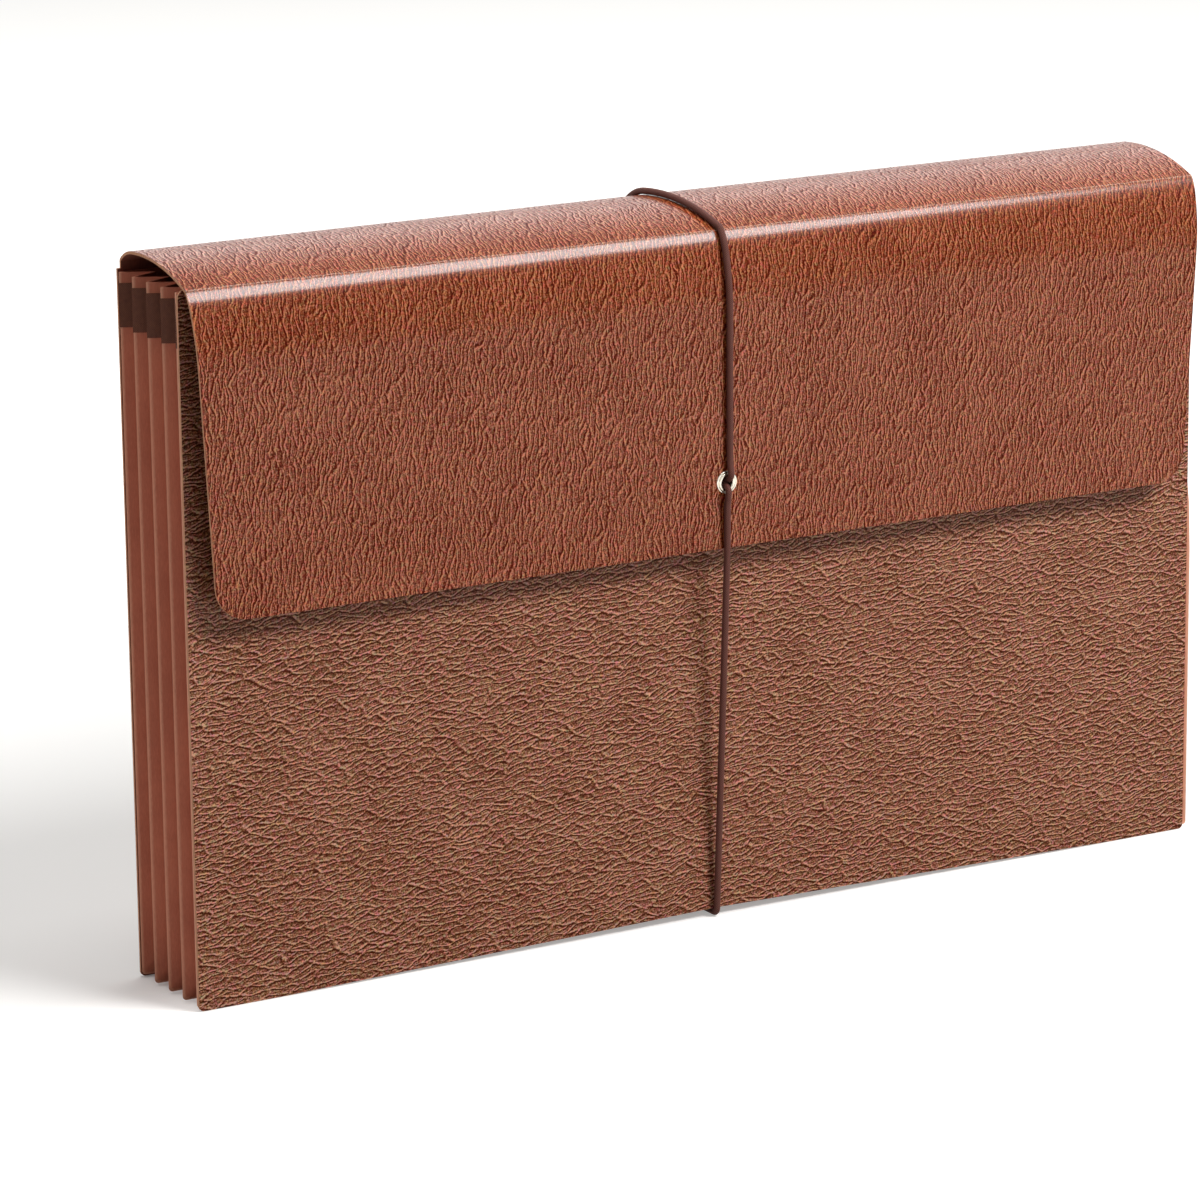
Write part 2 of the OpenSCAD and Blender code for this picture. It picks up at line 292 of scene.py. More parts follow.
def grain(cell_x, cell_y, lean, shade_side, dark, middle, light, varnish):
    """Leather print under varnish: pale wavy ridges of print, each with a line of painted shade on its
    shade side.

    A highlight is painted pale along a crease in the board, and the varnish on the bend beside it is
    polished.
    """
    def build(tree):
        sheet = tree.node("ShaderNodeUVMap", {"uv_map": "sheet"})
        leant = tree.node("ShaderNodeVectorRotate", {"rotation_type": "Z_AXIS"},
                          {"Vector": sheet, "Angle": math.radians(lean)})

        def wander(size, reach):
            return noise(leant, 1 / size, 1, 0.6, 1).vector("SUBTRACT", (0.5, 0.5, 0.5)).scaled(reach)

        def veins(at, scale, width):
            edge = at.node("ShaderNodeTexVoronoi",
                           {"voronoi_dimensions": "2D", "feature": "DISTANCE_TO_EDGE"},
                           {"Vector": at, "Scale": scale})
            return 1 - edge.step(0.0, width)

        swayed = leant
        for size, reach in SWAYS:
            swayed = swayed.vector("ADD", wander(size, reach))
        lit = swayed.vector("MULTIPLY", (1 / cell_x, 1 / cell_y, 0))
        # Painted shade: a dark copy of the ridge lines, shifted to their shade side, stands in for the
        # shade beside each embossed ridge
        shaded = lit.vector("ADD", shade_side)
        ridge, painted_shade = veins(lit, 1.0, RIDGE_WIDTH), veins(shaded, 1.0, PAINTED_SHADE_WIDTH)
        hair = veins(lit, HAIRS_PER_CELL, HAIR_WIDTH)
        hair_painted_shade = veins(shaded, HAIRS_PER_CELL, HAIR_WIDTH)
        speck = noise(sheet, SPECKS_PER_M, 2, 0.7)
        fleck = speck - 0.5
        mottle = noise(sheet, MOTTLES_PER_M, 3, 0.55) - 0.5
        lines_and_painted_shade = (ridge - painted_shade) * RIDGE_CONTRAST + (hair - hair_painted_shade) * HAIR_CONTRAST
        tone = GROUND_TONE + lines_and_painted_shade + ridge * RIDGE_TONE + fleck * FLECK_TONE + mottle * MOTTLE_TONE
        stops = ((0.0, dark), (0.45, middle), (0.95, light))
        colour = tone.node("ShaderNodeValToRGB", {"stops": stops}, {0: tone})
        hue = noise(sheet, HUES_PER_M, 1, 0.5, 1).vector("MULTIPLY_ADD", (1.2, 1.2, 1.2), (0.4, 0.4, 0.4))
        # Painted highlight: a thin pale line along the crease
        crease_highlight = (kept_value(tree, "worn") * (0.6 + fleck * 3)).step(0.1, 1.6)
        polish = kept_value(tree, "polish").step(0, 0.7)
        height = ridge * 0.6 + hair * 0.25 + speck * 0.4
        return {"Base Color": crease_highlight.tint(colour.vector("MULTIPLY", hue), CREASE_HIGHLIGHT_COLOUR),
                "Roughness": 0.36 + fleck * 0.3 + painted_shade * 0.08,
                "Coat Weight": (tone.step(0.05, 0.6) * varnish).math("MAXIMUM", polish),
                "Normal": bump(height, PRINT_BUMP, 0.45)}
    return build


# Other materials: counts of their marks in a metre, and the depth of their relief
EDGE_LAYERS_PER_M = (300, 4000, 300)
BOARD_CLOUDS_PER_M, BOARD_FIBRES_PER_M = 60, 2200
PAPER_CLOUDS_PER_M, PAPER_FIBRES_PER_M = 45, 2600
TAPE_CLOUDS_PER_M, CORD_FUZZ_PER_M, PLATE_MARKS_PER_M = 700, 4000, 1800
PULP_BUMP, THREAD_BUMP = 0.05 * MM, 0.08 * MM


def cut_edge(tree):
    """Raw board edge: pale pulp layers with darker fibres."""
    layers = noise(on_piece(tree).vector("MULTIPLY", EDGE_LAYERS_PER_M), 1, 2)
    colour = layers.step(0.3, 0.75).tint(srgb(168, 108, 76), srgb(214, 160, 122))
    return {"Base Color": colour, "Roughness": 0.7 + layers * 0.2, "Normal": bump(layers, PULP_BUMP)}


def pulp(cloud, fibre):
    """Cloudy paper with fibres, from 0 for its darkest to 1 for its palest."""
    return (cloud * 0.6 + fibre * 0.4).step(0.3, 0.7)


def bare_board(tree):
    """Uncoated inner side of the boards: red-brown pulp with long fibres."""
    at = on_piece(tree)
    cloud = noise(at, BOARD_CLOUDS_PER_M, 4, 0.6)
    fibre = noise(at.vector("MULTIPLY", (1, 1, 0.25)), BOARD_FIBRES_PER_M, 2, 0.6)
    colour = pulp(cloud, fibre).tint(srgb(112, 60, 46), srgb(140, 79, 61))
    return {"Base Color": colour, "Roughness": 0.72 + fibre * 0.15, "Normal": bump(fibre, PULP_BUMP)}


def pleat_paper(tree):
    """Gusset paper: red-brown, with fibres, and a painted highlight along the ridges."""
    at = on_piece(tree)
    cloud = noise(at, PAPER_CLOUDS_PER_M, 4, 0.6)
    fibre = noise(at.vector("MULTIPLY", (1, 1, 0.2)), PAPER_FIBRES_PER_M, 3, 0.6)
    plain = pulp(cloud, fibre).tint(srgb(188, 110, 86), srgb(210, 129, 101))
    # Painted highlight: the ridges, where the folds catch the light, are tinted pale
    ridge_highlight = (kept_value(tree, "worn") * (0.7 + fibre * 0.5)).step(0.3, 0.9)
    colour = ridge_highlight.tint(plain, srgb(236, 172, 142))
    return {"Base Color": colour, "Roughness": 0.66 + fibre * 0.2, "Normal": bump(fibre, PULP_BUMP)}


# Pitch of the tape's threads, and of the cord's braid with its yarns along one pitch and round the cord
THREAD_PITCH = 0.55 * MM
BRAID_PITCH = 2.4 * MM
YARNS_ALONG = 4
YARNS_ROUND = 8


def woven_tape(tree):
    """Dark reinforcing tape: a fine plain weave."""
    at = on_piece(tree)
    threads_up = (at.parts(2) * (math.tau / THREAD_PITCH)).math("SINE")
    threads_in = (at.parts(0) * (math.tau / THREAD_PITCH)).math("SINE")
    weave = threads_up * threads_in * 0.5 + 0.5
    cloud = noise(at, TAPE_CLOUDS_PER_M, 3, 0.6)
    colour = (weave * 0.6 + cloud * 0.5).step(0.2, 1.0).tint(srgb(74, 39, 25), srgb(118, 68, 46))
    return {"Base Color": colour, "Roughness": 0.6 + weave * 0.15, "Normal": bump(weave, THREAD_BUMP)}


def braid(tree):
    """Braided cover of the elastic: two crossing sets of yarns round the cord."""
    along = kept_value(tree, "along") * (math.tau / BRAID_PITCH) * YARNS_ALONG
    around = kept_value(tree, "around") * (math.tau * YARNS_ROUND)
    left_hand = (along + around).math("SINE")
    right_hand = (along - around).math("SINE")
    yarn = left_hand.math("MAXIMUM", right_hand) * 0.5 + 0.5
    fuzz = noise(on_piece(tree), CORD_FUZZ_PER_M, 2, 0.6)
    colour = (yarn * 0.75 + fuzz * 0.35).step(0.2, 1.0).tint(srgb(54, 26, 20), srgb(106, 60, 50))
    return {"Base Color": colour, "Roughness": 0.5 + fuzz * 0.25, "Normal": bump(yarn, THREAD_BUMP)}


def plated(tree):
    """Bright nickel plating with faint handling marks."""
    marks = noise(on_piece(tree), PLATE_MARKS_PER_M, 3, 0.6)
    colour = marks.step(0.3, 0.7).tint(srgb(196, 188, 172), srgb(216, 209, 195))
    return {"Base Color": colour, "Roughness": 0.16 + marks * 0.14}


upright_grain = grain(cell_x=1.75 * MM, cell_y=9.5 * MM, lean=-4, shade_side=(0.27, 0.03, 0),
                      dark=srgb(74, 12, 0), middle=srgb(127, 55, 20), light=srgb(188, 111, 74), varnish=1.0)
level_grain = grain(cell_x=7.8 * MM, cell_y=2.0 * MM, lean=8, shade_side=(0.03, -0.25, 0),
                    dark=srgb(64, 20, 0), middle=srgb(132, 78, 50), light=srgb(208, 153, 128), varnish=0.5)
FLAP_GRAIN = finish_of("flap_grain", upright_grain,
                       specular_ior_level=0.05, coat_roughness=0.17, coat_ior=1.33)
PANEL_GRAIN = finish_of("panel_grain", level_grain,
                        specular_ior_level=0.08, coat_roughness=0.3, coat_ior=1.3)
EDGE = finish_of("cut_edge", cut_edge)
BARE = finish_of("bare_board", bare_board, specular_ior_level=0.3)
PAPER_FINISH = finish_of("pleat_paper", pleat_paper, specular_ior_level=0.3)
TAPE_FINISH = finish_of("woven_tape", woven_tape, specular_ior_level=0.3)
BRAID = finish_of("cord_braid", braid, specular_ior_level=0.25)
PLATED = finish_of("nickel_plate", plated, metallic=1)


def add_object(name, data):
    made = bpy.data.objects.new(name, data)
    bpy.context.scene.collection.objects.link(made)
    return made


def close_shell(mesh, smooth_angle=35):
    """Turns all faces outwards and shades them smooth up to an angle."""
    shell = bmesh.new()
    shell.from_mesh(mesh)
    bmesh.ops.recalc_face_normals(shell, faces=shell.faces)
    shell.to_mesh(mesh)
    shell.free()
    mesh.shade_smooth()
    mesh.set_sharp_from_angle(angle=math.radians(smooth_angle))


def result_of(piece):
    """What the piece's modifiers make, as a plain mesh."""
    graph = bpy.context.evaluated_depsgraph_get()
    return bpy.data.meshes.new_from_object(piece.evaluated_get(graph), preserve_all_data_layers=True,
                                           depsgraph=graph)


def bake(piece):
    """Makes the modifiers' result the piece's own mesh."""
    result = result_of(piece)
    piece.modifiers.clear()
    piece.data = result


def settle(piece, slot, *nodes):
    """Hides the CAD nodes that the piece stands for; the slot is not used."""
    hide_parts(*nodes)
    return piece


# Boards. A station is a place on a board's outer face, with the slope of the board there in degrees:
# -90 climbs, 0 runs level to the front and 90 drops. A row across the board has its station, its half
# width, the run along the sheet up to it, its share of the bottom's rise and its shift sideways.
Station = namedtuple("Station", "y z slope")
Row = namedtuple("Row", "station half run lift shift", defaults=(0,))


def ahead(at, run):
    a = math.radians(at.slope)
    return Station(at.y - run * math.cos(a), at.z - run * math.sin(a), at.slope)


def bend(at, radius, to, steps=8):
    path = []
    from_angle = math.radians(at.slope)
    for i in range(1, steps + 1):
        slope = at.slope + (to - at.slope) * i / steps
        a = math.radians(slope)
        path.append(Station(at.y - radius * (math.sin(a) - math.sin(from_angle)),
                            at.z - radius * (math.cos(from_angle) - math.cos(a)), slope))
    return path


def inward(station, depth):
    a = math.radians(station.slope)
    return station.y + depth * math.sin(a), station.z - depth * math.cos(a)


def sine(slope):
    return math.sin(math.radians(slope))


def forwards(radius, from_slope, to_slope):
    """How far to the front a bend of that radius goes between two slopes."""
    return radius * (sine(to_slope) - sine(from_slope))


fold_tangent = FOLD_R * math.tan(math.radians((90 + RISE_SLOPE) / 2))
top_of_back = Station(BACK_Y, BACK_FOLD.z - fold_tangent, -90)
fold_arc = bend(top_of_back, FOLD_R, RISE_SLOPE, 6)
top_start = ahead(Station(BACK_Y, BACK_FOLD.z, RISE_SLOPE), FOLD_RUN)

# The bowed top ends where the bend over the front panel starts, and begins where the back bend has the
# bow's own slope
bow_end = bend(Station(CREASE.y, CREASE.z, CREASE_ANGLE), FRONT_BEND_R, FRONT_SLOPE, 1)[0]
bow_mid_y = bow_end.y + TOP_BOW_R * sine(FRONT_SLOPE)
back_bend_mid_y = top_start.y + BACK_BEND_R * sine(RISE_SLOPE)
back_slope = math.degrees(math.asin((bow_mid_y - back_bend_mid_y) / (TOP_BOW_R - BACK_BEND_R)))
back_bend = [top_start] + bend(top_start, BACK_BEND_R, back_slope, 12)
bow = bend(back_bend[-1], TOP_BOW_R, FRONT_SLOPE, 12)
seam = bow[5]
behind_seam = back_bend + bow[:5] + [ahead(seam, -SEAM_STEP), seam]
before_crease = [seam, ahead(seam, SEAM_STEP)] + bow[6:-1] + [ahead(bow[-1], -CREASE_HIGHLIGHT_REACH), bow[-1]]

# The score is tight, the bend below it is softer, and the front then curves slowly until it hangs
score = bend(bow[-1], SCORE_R, SCORE_SLOPE, 6)
soft_reach = forwards(FRONT_BEND_R, FRONT_SLOPE, BEND_SLOPE) - forwards(SCORE_R, FRONT_SLOPE, SCORE_SLOPE)
soft_bend_r = soft_reach / forwards(1, SCORE_SLOPE, BEND_SLOPE)
soft_bend = bend(score[-1], soft_bend_r, BEND_SLOPE, 10)
after_crease = score + soft_bend + bend(soft_bend[-1], HANG_BOW_R, HANG_SLOPE, 14)
hang_start = after_crease[-1]
flap_edge = ahead(hang_start, (hang_start.z - FLAP_LOW.z) / sine(HANG_SLOPE))


def runs(path, start=0.0):
    """Distance along a row of stations."""
    found = [start]
    for a, b in zip(path, path[1:]):
        found.append(found[-1] + math.hypot(b.y - a.y, b.z - a.z))
    return found


def bottom_lift(x):
    return BOTTOM_RISE * max(0.0, 1 - abs(x) / (PANEL_HALF - FOOT))


def across(columns=24):
    """Shares of the half width, with columns at the feet and the middle."""
    foot = 1 - FOOT / PANEL_HALF
    return sorted({-1 + 2 * i / columns for i in range(columns + 1)} | {-foot, foot})


def board(name, rows, face_finish, crease_run=None):
    """A bent board: its grained face with a painted highlight along the crease, its bare side and its cut
    edges.
    """
    shares = across()
    n, count = len(shares), len(rows)
    points, places = [], []
    for depth in (0, BOARD):
        for row in rows:
            y, z = inward(row.station, depth)
            for share in shares:
                x = share * row.half + row.shift
                points.append((x, y, z + row.lift * bottom_lift(x)))
                places.append((x, row.run))
    face = [(i * n + j, i * n + j + 1, (i + 1) * n + j + 1, (i + 1) * n + j)
            for i in range(count - 1) for j in range(n - 1)]
    bare = [tuple(v + n * count for v in reversed(quad)) for quad in face]
    ring = list(range(n)) + [i * n + n - 1 for i in range(1, count)]
    ring += [(count - 1) * n + j for j in range(n - 2, -1, -1)] + [i * n for i in range(count - 2, 0, -1)]
    edge = [(a, a + n * count, b + n * count, b) for a, b in zip(ring, ring[1:] + ring[:1])]
    mesh = bpy.data.meshes.new(name)
    mesh.from_pydata(points, [], face + bare + edge)
    for finish in (face_finish, BARE, EDGE):
        mesh.materials.append(finish)
    kinds = [0] * len(face) + [1] * len(bare) + [2] * len(edge)
    mesh.polygons.foreach_set("material_index", kinds)
    sheet = mesh.uv_layers.new(name="sheet")
    for loop in mesh.loops:
        sheet.data[loop.index].uv = places[loop.vertex_index]
    # Painted highlight along the crease, and the polished varnish on the bend below it
    if crease_run:
        for label, middle, reach in (("worn", crease_run, CREASE_HIGHLIGHT_REACH),
                                     ("polish", crease_run + POLISH_OFF, POLISH_REACH)):
            values = [max(0, 1 - abs(row.run - middle) / reach) for row in rows for _ in shares]
            mesh.attributes.new(label, "FLOAT", "POINT").data.foreach_set("value", values * 2)
    close_shell(mesh)
    return add_object(name, mesh)


def round_corner(radius):
    """Distances from a panel's top or bottom edge, and its half widths there, from the side to the edge."""
    return [(radius * (1 - sine(a)), PANEL_HALF - radius * (1 - sine(90 - a))) for a in range(0, 91, 15)]


def panel_rows(steps=6):
    """Heights and half widths of a panel, from its round bottom corners up."""
    rise = PANEL_TOP - PANEL_CORNER_R
    sides = [(PANEL_CORNER_R + rise * i / steps, PANEL_HALF) for i in range(1, steps + 1)]
    return round_corner(PANEL_CORNER_R)[::-1] + sides


def front_board():
    top_corner = [(PANEL_TOP - below, half) for below, half in round_corner(FRONT_TOP_CORNER_R)]
    rows = [Row(Station(FRONT_Y, height, 90), half, PANEL_TOP - height, 1 - height / PANEL_TOP)
            for height, half in reversed(panel_rows()[:-1] + top_corner)]
    piece = board("front_board", rows, PANEL_GRAIN)
    settle(piece, "panel_board", "front_panel")
    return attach(piece, "front")


def bend_at_back_fold(piece):
    """Bakes the piece's placement into its mesh."""
    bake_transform(piece)


def bend_at_crease(piece):
    """Bakes the piece's placement into its mesh."""
    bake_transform(piece)


def back_board():
    """Back panel with the back half of the flap's top. Gives the run along the sheet where it ends."""
    neck = PANEL_HALF - FLAP_INSET
    rows = [Row(Station(BACK_Y, height, -90), half, height, 1 - height / PANEL_TOP)
            for height, half in panel_rows()]
    path = [Station(BACK_Y, PANEL_TOP + NECK_STEP, -90), top_of_back] + fold_arc + behind_seam
    rows += [Row(station, neck, run, 0, FLAP_SHIFT) for station, run in zip(path, runs(path, PANEL_TOP))]
    piece = board("back_board", rows, FLAP_GRAIN)
    settle(piece, "panel_board", "back_panel")
    bend_at_back_fold(piece)
    return rows[-1].run


def flap_half(drop):
    """Half width of the flap at a distance below the crease's height."""
    share = min(1, max(0, drop / (CREASE.z - FLAP_LOW.z)))
    return PANEL_HALF - FLAP_INSET - (FLAP_EDGE_INSET - FLAP_INSET) * share


def flap_board(first_run):
    """Front half of the flap's top with its hanging front, from a run along the sheet on."""
    path = before_crease + after_crease
    rows = [Row(station, flap_half(CREASE.z - station.z), run, 0, FLAP_SHIFT)
            for station, run in zip(path, runs(path, first_run))]
    crease_run = rows[len(before_crease) + len(score) // 2 - 1].run
    hang_run = rows[-1].run + (hang_start.z - FLAP_LOW.z)
    steps = 8
    for i in range(steps + 1):
        a = math.pi / 2 * i / steps
        up = FLAP_CORNER_R * (1 - math.sin(a))
        station = ahead(flap_edge, -up)
        half = flap_half(CREASE.z - station.z) - FLAP_CORNER_R * (1 - math.cos(a))
        rows.append(Row(station, half, hang_run - up, 0, FLAP_SHIFT))
    piece = board("flap_board", rows, FLAP_GRAIN, crease_run)
    return settle(piece, "flap_board", "flap_top", "flap_front")


def punch(piece, centre, axis, radius, length=8 * MM):
    """Cuts a round hole through a board."""
    drill = bpy.data.meshes.new("drill")
    tool = bmesh.new()
    bmesh.ops.create_cone(tool, cap_ends=True, segments=40, radius1=radius, radius2=radius, depth=length)
    tool.transform(Matrix.Translation(centre) @ axis.to_track_quat("Z", "Y").to_matrix().to_4x4())
    tool.to_mesh(drill)
    tool.free()
    drill.materials.append(EDGE)
    cutter = add_object("drill", drill)
    cut = piece.modifiers.new("hole", "BOOLEAN")
    cut.object = cutter
    cut.operation = "DIFFERENCE"
    cut.material_mode = "TRANSFER"
    bake(piece)
    bpy.data.objects.remove(cutter)


# Eyelet's own axes: out of the flap's face and up along it
hang = math.radians(HANG_SLOPE)
OUT = Vector((0, -math.sin(hang), math.cos(hang)))
UP = Vector((0, math.cos(hang), math.sin(hang)))
eyelet_station = ahead(flap_edge, -(EYELET_Z - FLAP_LOW.z) / math.sin(hang))
EYELET_AT = Vector((0, eyelet_station.y, eyelet_station.z))


def lathe(name, outline, finish, sides=64):
    """A closed outline of (radius, height) turned about the eyelet's axis."""
    points = []
    for i in range(sides):
        a = math.tau * i / sides
        spoke = Vector((1, 0, 0)) * math.cos(a) + UP * math.sin(a)
        points += [EYELET_AT + spoke * radius + OUT * height for radius, height in outline]
    n = len(outline)
    faces = [(i * n + j, i * n + (j + 1) % n, (i + 1) % sides * n + (j + 1) % n, (i + 1) % sides * n + j)
             for i in range(sides) for j in range(n)]
    mesh = bpy.data.meshes.new(name)
    mesh.from_pydata(points, [], faces)
    mesh.materials.append(finish)
    close_shell(mesh, smooth_angle=50)
    return add_object(name, mesh)


def arc(centre, radius, start, end, steps):
    return [(centre[0] + radius * math.cos(math.radians(start + (end - start) * i / steps)),
             centre[1] + radius * math.sin(math.radians(start + (end - start) * i / steps)))
            for i in range(steps + 1)]


def eyelet():
    """Pressed eyelet: two round beads in front, a barrel, and a rim rolled back on the bare side."""
    barrel_r = HOLE_R + EYELET_WALL
    flange_r = BEAD_MID + BEAD_R
    bead = arc((HOLE_R + INNER_BEAD_R, EYELET_SEAT), INNER_BEAD_R, 180, 25, 12)
    bead += arc((flange_r - OUTER_BEAD_R, EYELET_SEAT), OUTER_BEAD_R, 125, 0, 8)
    under = [(flange_r - EYELET_WALL, 0), (barrel_r, 0), (barrel_r, -BOARD)]
    rim = arc((barrel_r + RIM_R, -BOARD - EYELET_SEAT - RIM_R / 2), RIM_R, 90, -180, 12)
    piece = lathe("eyelet_ring", bead + under + rim[2:] + [(HOLE_R, -BOARD)], PLATED)
    settle(piece, "metal", "eyelet")
    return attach(piece, "flap_face")


# Geometry node trees
def node_tree(name, sockets):
    """A geometry tree with named inputs, and the sockets of its inputs by name."""
    tree = bpy.data.node_groups.new(name, "GeometryNodeTree")
    tree.interface.new_socket("Geometry", in_out="OUTPUT", socket_type="NodeSocketGeometry")
    for label, kind in sockets:
        tree.interface.new_socket(label, in_out="INPUT", socket_type="NodeSocket" + kind)
    root = Sock(tree)
    group_input = root.node("NodeGroupInput")
    return root, {s.name: Sock(tree, s) for s in group_input.socket.node.outputs if s.name}


def close_tree(root, geometry, finish):
    realized = root.node("GeometryNodeRealizeInstances", {}, {0: geometry})
    painted = root.node("GeometryNodeSetMaterial", {}, {"Geometry": realized, "Material": finish})
    root.node("NodeGroupOutput", {}, {0: painted})


def add_tree(piece, root, values):
    modifier = piece.modifiers.new("shape", "NODES")
    modifier.node_group = root.tree
    names = {s.name: s.identifier for s in root.tree.interface.items_tree if s.in_out == "INPUT"}
    for label, value in values.items():
        modifier[names[label]] = value


def pleat_tree(finish):
    """A sheet that zigzags between a ridge rail and a valley rail, which have the same number of points."""
    root, given = node_tree("pleats", [("Ridge rail", "Geometry"), ("Valley rail", "Object"),
                                       ("Rail points", "Int"), ("Faces", "Int"), ("Steps", "Int"),
                                       ("First ridge", "Float"), ("Depth", "Float"), ("Sway", "Float"),
                                       ("Right peek", "Float")])
    across_count = given["Faces"] * given["Steps"] + 1
    grid = root.node("GeometryNodeMeshGrid", {}, {"Size X": 1.0, "Size Y": 1.0,
                                                  "Vertices X": given["Rail points"],
                                                  "Vertices Y": across_count})
    place = root.node("GeometryNodeInputPosition")
    index = ((place.parts(0) + 0.5) * (given["Rail points"] - 1)).math("ROUND")
    share = place.parts(1) + 0.5
    wave = (share * given["Faces"]).math("PINGPONG", 1.0)
    fold = root.node("ShaderNodeMapRange", {},
                     {"Value": wave, "From Min": FOLD_FLAT, "From Max": 1 - FOLD_FLAT})
    valley = root.node("GeometryNodeObjectInfo", {"transform_space": "ORIGINAL"},
                       {"Object": given["Valley rail"]}, "Geometry")

    def rail_point(on_rail):
        return root.node("GeometryNodeSampleIndex", {"data_type": "FLOAT_VECTOR", "domain": "POINT"},
                         {"Geometry": on_rail, "Value": place, "Index": index})

    between = root.node("ShaderNodeMix", {"data_type": "VECTOR"},
                        {0: fold, 4: rail_point(given["Ridge rail"]), 5: rail_point(valley)}, 1)

    # The folds sway a little, but not where they meet the panels
    off_panels = (share * 3.0).math("PINGPONG", 1.5).step(0, 0.4)
    waver = (noise(between, SWAYS_PER_M, 1) - 0.5) * given["Sway"] * off_panels
    y = given["First ridge"] - share * given["Depth"] + waver

    # The last ridge, at the front panel, shows past the panel's right edge below the flap
    below_flap = 1 - between.parts(2).step(PEEK_FADES_AT, PEEK_ENDS_AT)
    right_end = between.parts(0).step(PEEK_FROM_X, PANEL_HALF) * share.step(LAST_RIDGE_SHARE, 1.0)
    peek = right_end * below_flap * (1 - fold) * given["Right peek"]
    shift = root.node("ShaderNodeCombineXYZ", {}, {0: peek, 1: y})
    # Painted highlight along each ridge, kept at the points for the paper's colour
    worn = 1 - fold.step(0.0, RIDGE_HIGHLIGHT_SHARE)
    marked = root.node("GeometryNodeStoreNamedAttribute", {"data_type": "FLOAT", "domain": "POINT"},
                       {"Geometry": grid, "Name": "worn", "Value": worn})
    moved = root.node("GeometryNodeSetPosition", {},
                      {"Geometry": marked, "Position": between.vector("ADD", shift)})
    close_tree(root, moved, finish)
    return root


def rail(name, points):
    """A poly curve in the XZ plane."""
    curve = bpy.data.curves.new(name, "CURVE")
    curve.dimensions = "3D"
    line = curve.splines.new("POLY")
    line.points.add(len(points) - 1)
    for point, (x, z) in zip(line.points, points):
        point.co = (x, 0, z, 1)
    return add_object(name, curve)


def gusset_rail(inset, corner_r, side_steps=14, bottom_steps=20):
    """The gusset's U at a distance inside the ridges, from the left top round to the right top."""
    half = STRIP_HIGH.x + RIDGE_OUT - inset
    top, low = STRIP_HIGH.z, STRIP_LOW.z - GUSSET_SAG + inset
    left = [(-half, top + (low + corner_r - top) * i / side_steps) for i in range(side_steps)]
    left += arc((-half + corner_r, low + corner_r), corner_r, 180, 270, 8)
    bottom = [2 * (half - corner_r) * (i / bottom_steps - 0.5) for i in range(1, bottom_steps)]
    return left + [(x, low + bottom_lift(x)) for x in bottom] + [(-x, z) for x, z in reversed(left)]


def tape_rail(side, inset):
    """The tape's height at a distance inside the ridges, on the left for -1 and on the right for 1."""
    top = STRIP_HIGH.z - TAPE_DROP
    steps = 3
    return [(side * (STRIP_HIGH.x + RIDGE_OUT - inset), top - TAPE_H * i / steps) for i in range(steps + 1)]


def pleated(name, ridge, valley, tree, thickness, offset):
    """A pleated sheet with its thickness, attached to the back."""
    low_rail = rail("valley_rail", valley)
    piece = rail(name, ridge)
    first, last = STRIP_LOW.y, FRONT_STRIP_HIGH.y
    add_tree(piece, tree, {"Valley rail": low_rail, "Rail points": len(ridge), "Faces": PLEAT_FACES,
                           "Steps": FACE_STEPS, "First ridge": first, "Depth": first - last,
                           "Sway": PLEAT_SWAY, "Right peek": RIGHT_PEEK})
    sheet = result_of(piece)
    for helper in (piece, low_rail):
        bpy.data.objects.remove(helper)
    piece = add_object(name, sheet)
    wall = piece.modifiers.new("thickness", "SOLIDIFY")
    wall.thickness, wall.offset = thickness, offset
    bake(piece)
    close_shell(piece.data, smooth_angle=20)
    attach(piece, "back")
    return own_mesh(piece)


def gusset():
    """The pleated sheet round three sides, the tape at both its ends and the strips glued to the panels."""
    ridge = gusset_rail(0, RIDGE_CORNER_R)
    valley = gusset_rail(PLEAT_DEPTH, VALLEY_CORNER_R)
    piece = pleated("gusset_pleats", ridge, valley, pleat_tree(PAPER_FINISH), PAPER, 0)
    settle(piece, "gusset_paper", *(f"{side}_pleat_{k}" for side in ("left", "right", "bottom")
                                    for k in range(1, PLEAT_FACES + 1)))
    tape_tree = pleat_tree(TAPE_FINISH)
    for name, side in (("left", -1), ("right", 1)):
        ridge, valley = tape_rail(side, 0), tape_rail(side, PLEAT_DEPTH)
        band = pleated(f"{name}_tape", ridge, valley, tape_tree, TAPE_LIFT, -side)
        settle(band, "tape", *(f"{name}_tape_{k}" for k in range(1, PLEAT_FACES + 1)))
    for node in ("back_glue_strip", "front_glue_strip"):
        materials = frame["nodes"][node].data.materials
        materials.clear()
        materials.append(PAPER_FINISH)


def cord_tree():
    """A round tube along a curve, with the length along it and the way round it kept for the braid."""
    root, given = node_tree("cord", [("Route", "Geometry"), ("Step", "Float"), ("Sides", "Int")])
    even = root.node("GeometryNodeResampleCurve", {"mode": "LENGTH"},
                     {"Curve": given["Route"], "Length": given["Step"]})
    length = root.node("GeometryNodeSplineParameter", out=1)
    kept = root.node("GeometryNodeCaptureAttribute", {"domain": "POINT", "captures": [("FLOAT", "Along")]},
                     {0: even, 1: length})
    ring = root.node("GeometryNodeCurvePrimitiveCircle", {"mode": "RADIUS"},
                     {"Resolution": given["Sides"], "Radius": 1.0})
    turn = root.node("GeometryNodeSplineParameter")
    kept_ring = root.node("GeometryNodeCaptureAttribute",
                          {"domain": "POINT", "captures": [("FLOAT", "Around")]}, {0: ring, 1: turn})
    tube = root.node("GeometryNodeCurveToMesh", {}, {"Curve": kept, "Profile Curve": kept_ring,
                                                     "Scale": root.node("GeometryNodeInputRadius"),
                                                     "Fill Caps": True})
    for name, value in (("along", kept.beside(1)), ("around", kept_ring.beside(1))):
        tube = root.node("GeometryNodeStoreNamedAttribute", {"data_type": "FLOAT", "domain": "POINT"},
                         {"Geometry": tube, "Name": name, "Value": value})
    close_tree(root, tube, BRAID)
    return root


CORD_TREE = cord_tree()


